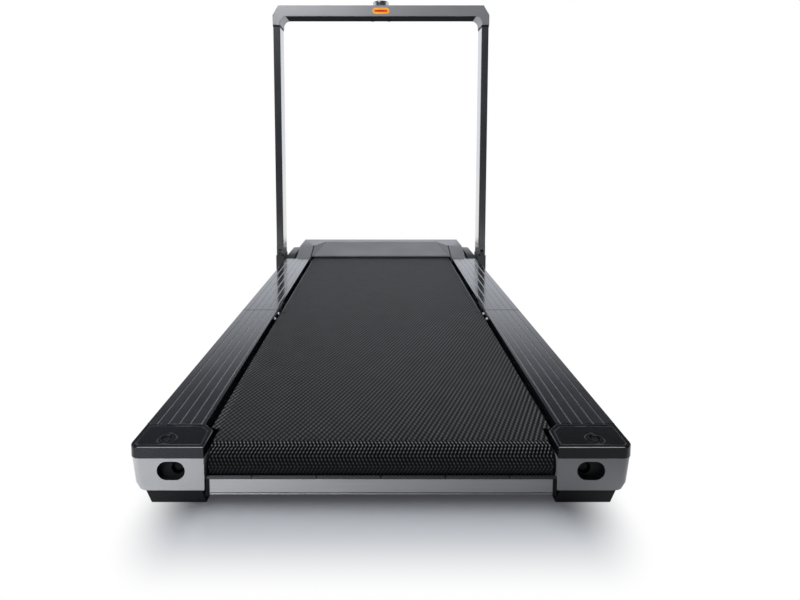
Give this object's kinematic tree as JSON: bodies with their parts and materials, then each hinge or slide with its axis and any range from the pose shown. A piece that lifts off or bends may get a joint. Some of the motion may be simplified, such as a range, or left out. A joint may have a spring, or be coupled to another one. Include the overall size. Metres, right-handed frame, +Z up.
{
  "type": "walking pad",
  "caption": "Low folding walking pad with ribbed side rails, textured belt, motor hood, fold-down handrail gantry with a speed knob, and rear caps with belt adjusters.",
  "frame": {"origin": "centre of the machine's outline on the floor, unfolded with the gantry upright", "axes": "+Y in the walking direction towards the motor hood, +X to the walker's right, +Z up"},
  "size_m": [0.766, 1.4, 1.007],
  "materials": {
    "silver_paint": "satin silver paint",
    "dark_paint": "satin charcoal paint",
    "rail_alloy": "anodised, fine brushed",
    "tread_plastic": "ribbed, satin",
    "cap_plastic": "satin silver",
    "lid_plastic": "satin black",
    "hood_plastic": "satin grey",
    "flank_plastic": "fine grain, dark grey",
    "belt_rubber": "raised diamond texture",
    "rubber": "matt black",
    "board_wood": "black laminated board",
    "steel": "plain",
    "chrome": "polished",
    "black_steel": "black",
    "inner_plastic": "black",
    "gantry_silver": "satin grey",
    "display_rim": "translucent orange",
    "display_lens": "dark red window"
  },
  "bodies": {
    "front_frame": {"left_front_rail": "rail_alloy", "right_front_rail": "rail_alloy", "left_front_tread": "tread_plastic", "right_front_tread": "tread_plastic", "front_deck_board": "board_wood", "front_crossmembers": "black_steel", "front_cushions": "rubber", "front_hinge_leaves": "black_steel", "front_leaf_screws": "black_steel", "deck_hinge_pins": "steel", "front_axle": "steel", "drive_belt": "rubber", "motor_body": "black_steel", "motor_controller": "rail_alloy", "motor_tray": "black_steel", "hood_cover": "hood_plastic", "hood_lid": "hood_plastic", "left_hood_flank": "flank_plastic", "right_hood_flank": "flank_plastic", "power_inlet": "inner_plastic", "front_feet": "rubber", "wheel_axles": "steel", "gantry_bases": "flank_plastic", "gantry_pins": "steel", "walking_belt": "belt_rubber"},
    "rear_frame": {"left_rear_rail": "rail_alloy", "right_rear_rail": "rail_alloy", "left_rear_tread": "tread_plastic", "right_rear_tread": "tread_plastic", "left_end_cap": "cap_plastic", "right_end_cap": "cap_plastic", "cap_lids": "lid_plastic", "cap_screws": "black_steel", "rear_feet": "rubber", "rear_bar": "silver_paint", "rear_guard": "inner_plastic", "rear_deck_board": "board_wood", "rear_crossmembers": "black_steel", "rear_cushions": "rubber", "rear_axle": "steel", "tension_screws": "steel", "rear_hinge_leaves": "black_steel", "rear_leaf_screws": "steel"},
    "gantry": {"upright_feet": "dark_paint", "left_upright": "dark_paint", "right_upright": "dark_paint", "crossbar_shell": "gantry_silver", "crossbar_back": "gantry_silver", "display_bezel": "display_rim", "display_lens": "display_lens", "control_screws": "black_steel"},
    "knob_stem": {"knob_stem": "steel"},
    "speed_knob": {"speed_knob": "chrome"},
    "power_switch": {"power_switch": "inner_plastic"},
    "drive_roller": {"drive_roller": "steel", "roller_pulley": "inner_plastic"},
    "rear_roller": {"rear_roller": "steel"},
    "motor_rotor": {"motor_rotor": "steel"},
    "left_transport_wheel": {"left_transport_wheel": "rubber"},
    "right_transport_wheel": {"right_transport_wheel": "rubber"}
  },
  "joints": [
    {"name": "deck_fold", "type": "hinge", "parent": "front_frame", "child": "rear_frame", "pos_m": [0, -0.118, 0.083], "axis": [-1, 0, 0], "range_deg": [0, 180], "deforming": ["walking_belt"]},
    {"name": "gantry_fold", "type": "hinge", "parent": "front_frame", "child": "gantry", "pos_m": [0, 0.462, 0.106], "axis": [1, 0, 0], "range_deg": [0, 90]},
    {"name": "knob_press", "type": "slide", "parent": "gantry", "child": "knob_stem", "axis": [0, 0, -1], "range_m": [0, 0.0015], "stiffness_N_per_m": 4000, "springref_m": -0.0015},
    {"name": "knob_turn", "type": "hinge", "parent": "knob_stem", "child": "speed_knob", "pos_m": [0, 0.487, 0.99], "axis": [0, 0, 1], "continuous": true},
    {"name": "switch_rock", "type": "hinge", "parent": "front_frame", "child": "power_switch", "pos_m": [-0.185, 0.6924, 0.046], "axis": [1, 0, 0], "range_deg": [-7, 7]},
    {"name": "drive_roller_spin", "type": "hinge", "parent": "front_frame", "child": "drive_roller", "pos_m": [0, 0.54, 0.051], "axis": [1, 0, 0], "continuous": true},
    {"name": "rear_roller_spin", "type": "hinge", "parent": "rear_frame", "child": "rear_roller", "pos_m": [0, -0.671, 0.051], "axis": [1, 0, 0], "continuous": true},
    {"name": "motor_spin", "type": "hinge", "parent": "front_frame", "child": "motor_rotor", "pos_m": [0.2, 0.63, 0.065], "axis": [1, 0, 0], "continuous": true},
    {"name": "left_wheel_spin", "type": "hinge", "parent": "front_frame", "child": "left_transport_wheel", "pos_m": [-0.29125, 0.662, 0.029], "axis": [1, 0, 0], "continuous": true},
    {"name": "right_wheel_spin", "type": "hinge", "parent": "front_frame", "child": "right_transport_wheel", "pos_m": [0.29125, 0.662, 0.029], "axis": [1, 0, 0], "continuous": true}
  ],
  "couplings": [
    {"joint": "rear_roller_spin", "follows": "drive_roller_spin", "ratio": 1},
    {"joint": "motor_spin", "follows": "drive_roller_spin", "ratio": 2.0769}
  ]
}
